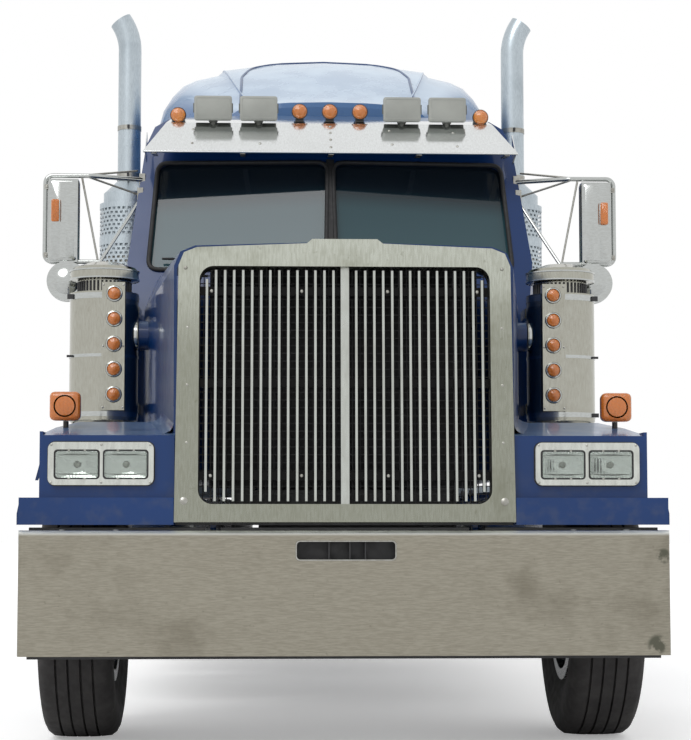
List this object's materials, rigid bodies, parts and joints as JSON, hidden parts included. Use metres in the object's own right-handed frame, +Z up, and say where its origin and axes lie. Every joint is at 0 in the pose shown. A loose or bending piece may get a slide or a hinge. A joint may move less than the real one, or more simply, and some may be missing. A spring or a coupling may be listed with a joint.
{
  "type": "truck tractor",
  "caption": "Long-nose truck tractor with raised-roof sleeper, tilting hood, tall grille, wide bumper and twin stacks; pulls a semi-trailer on its fifth wheel.",
  "frame": {"origin": "on the ground under the middle of the truck's length", "axes": "+X to the truck's left, +Y to its rear, +Z up; it faces -Y"},
  "size_m": [2.722, 7.95, 3.7286],
  "materials": {
    "black_frame": "satin",
    "blue_paint": "gloss",
    "bright_trim": "polished",
    "muffler_steel": "satin",
    "polished_aluminium": "polished",
    "engine_iron": "matte",
    "radiator_black": "matte",
    "greased_iron": "satin",
    "black_rubber": "matte",
    "tyre_rubber": "matte",
    "dark_glass": "gloss",
    "clear_glass": "gloss",
    "amber_lens": "gloss",
    "red_lens": "gloss",
    "grey_plastic": "satin",
    "dash_plastic": "matte",
    "seat_cloth": "matte"
  },
  "bodies": {
    "chassis": {"frame_rails": "black_frame", "front_bumper": "bright_trim", "front_axle": "black_frame", "springs": "black_frame", "drive_axles": "black_frame", "propeller_shafts": "black_frame", "engine_block": "engine_iron", "radiator": "radiator_black", "fuel_tanks": "polished_aluminium", "tool_boxes": "polished_aluminium", "fifth_wheel_base": "black_frame", "mud_flaps": "black_rubber", "tail_lamps": "red_lens", "cab_shell": "blue_paint", "cab_floor": "blue_paint", "cab_sides": "blue_paint", "cab_back": "blue_paint", "cab_roof": "blue_paint", "cab_roof_sides": "blue_paint", "windshield": "dark_glass", "sleeper_shell": "blue_paint", "roof_cap": "blue_paint", "sun_visor": "bright_trim", "amber_lamps": "amber_lens", "roof_box_lamps": "grey_plastic", "dashboard": "dash_plastic", "seats": "seat_cloth", "bunk": "seat_cloth", "exhaust_stacks": "muffler_steel", "muffler_guards": "muffler_steel", "air_cleaners": "bright_trim", "lamp_panels": "bright_trim", "mirrors": "bright_trim"},
    "fifth_wheel": {"fifth_wheel_plate": "greased_iron"},
    "hood": {"hood": "blue_paint", "grille_surround": "muffler_steel", "grille_bars": "bright_trim", "headlamp_bezels": "bright_trim", "headlamp_lenses": "clear_glass", "turn_lamps": "amber_lens"},
    "door_left": {"door_left": "blue_paint", "door_glass_left": "dark_glass"},
    "door_right": {"door_right": "blue_paint", "door_glass_right": "dark_glass"},
    "steer_left": {"knuckle_left": "black_frame"},
    "steer_right": {"knuckle_right": "black_frame"},
    "tie_rod": {"tie_rod": "black_frame"},
    "steer_wheel_left": {"steer_tyre_left": "tyre_rubber", "steer_rim_left": "polished_aluminium"},
    "steer_wheel_right": {"steer_tyre_right": "tyre_rubber", "steer_rim_right": "polished_aluminium"},
    "front_drive_wheels_left": {"front_drive_tyres_left": "tyre_rubber", "front_drive_rims_left": "polished_aluminium"},
    "front_drive_wheels_right": {"front_drive_tyres_right": "tyre_rubber", "front_drive_rims_right": "polished_aluminium"},
    "rear_drive_wheels_left": {"rear_drive_tyres_left": "tyre_rubber", "rear_drive_rims_left": "polished_aluminium"},
    "rear_drive_wheels_right": {"rear_drive_tyres_right": "tyre_rubber", "rear_drive_rims_right": "polished_aluminium"}
  },
  "joints": [
    {"name": "hood_tilt", "type": "hinge", "parent": "chassis", "child": "hood", "pos_m": [0, -3.915, 0.6], "axis": [1, 0, 0], "range_deg": [0, 70]},
    {"name": "door_left_hinge", "type": "hinge", "parent": "chassis", "child": "door_left", "pos_m": [0.976, -1.987, 1.3], "axis": [0, 0, -1], "range_deg": [0, 65]},
    {"name": "door_right_hinge", "type": "hinge", "parent": "chassis", "child": "door_right", "pos_m": [-0.976, -1.987, 1.3], "axis": [0, 0, 1], "range_deg": [0, 65]},
    {"name": "fifth_wheel_rock", "type": "hinge", "parent": "chassis", "child": "fifth_wheel", "pos_m": [0, 2.575, 1.12], "axis": [1, 0, 0], "range_deg": [-10, 10]},
    {"name": "steer", "type": "hinge", "parent": "chassis", "child": "steer_left", "pos_m": [0.872, -3.215, 0.5225], "axis": [0, 0, 1], "range_deg": [-35, 35]},
    {"name": "steer_right_kingpin", "type": "hinge", "parent": "chassis", "child": "steer_right", "pos_m": [-0.872, -3.215, 0.5225], "axis": [0, 0, 1], "range_deg": [-35, 35]},
    {"name": "tie_rod_pivot", "type": "hinge", "parent": "steer_left", "child": "tie_rod", "pos_m": [0.872, -2.99, 0.405], "axis": [0, 0, 1], "range_deg": [-35, 35]},
    {"name": "steer_wheel_left_spin", "type": "hinge", "parent": "steer_left", "child": "steer_wheel_left", "pos_m": [1.035, -3.215, 0.5225], "axis": [1, 0, 0], "continuous": true},
    {"name": "steer_wheel_right_spin", "type": "hinge", "parent": "steer_right", "child": "steer_wheel_right", "pos_m": [-1.035, -3.215, 0.5225], "axis": [1, 0, 0], "continuous": true},
    {"name": "front_drive_wheels_left_spin", "type": "hinge", "parent": "chassis", "child": "front_drive_wheels_left", "pos_m": [0.915, 2.015, 0.5225], "axis": [1, 0, 0], "continuous": true},
    {"name": "front_drive_wheels_right_spin", "type": "hinge", "parent": "chassis", "child": "front_drive_wheels_right", "pos_m": [-0.915, 2.015, 0.5225], "axis": [1, 0, 0], "continuous": true},
    {"name": "rear_drive_wheels_left_spin", "type": "hinge", "parent": "chassis", "child": "rear_drive_wheels_left", "pos_m": [0.915, 3.335, 0.5225], "axis": [1, 0, 0], "continuous": true},
    {"name": "rear_drive_wheels_right_spin", "type": "hinge", "parent": "chassis", "child": "rear_drive_wheels_right", "pos_m": [-0.915, 3.335, 0.5225], "axis": [1, 0, 0], "continuous": true}
  ],
  "couplings": [
    {"joint": "steer_right_kingpin", "follows": "steer", "ratio": 1},
    {"joint": "tie_rod_pivot", "follows": "steer", "ratio": -1}
  ]
}
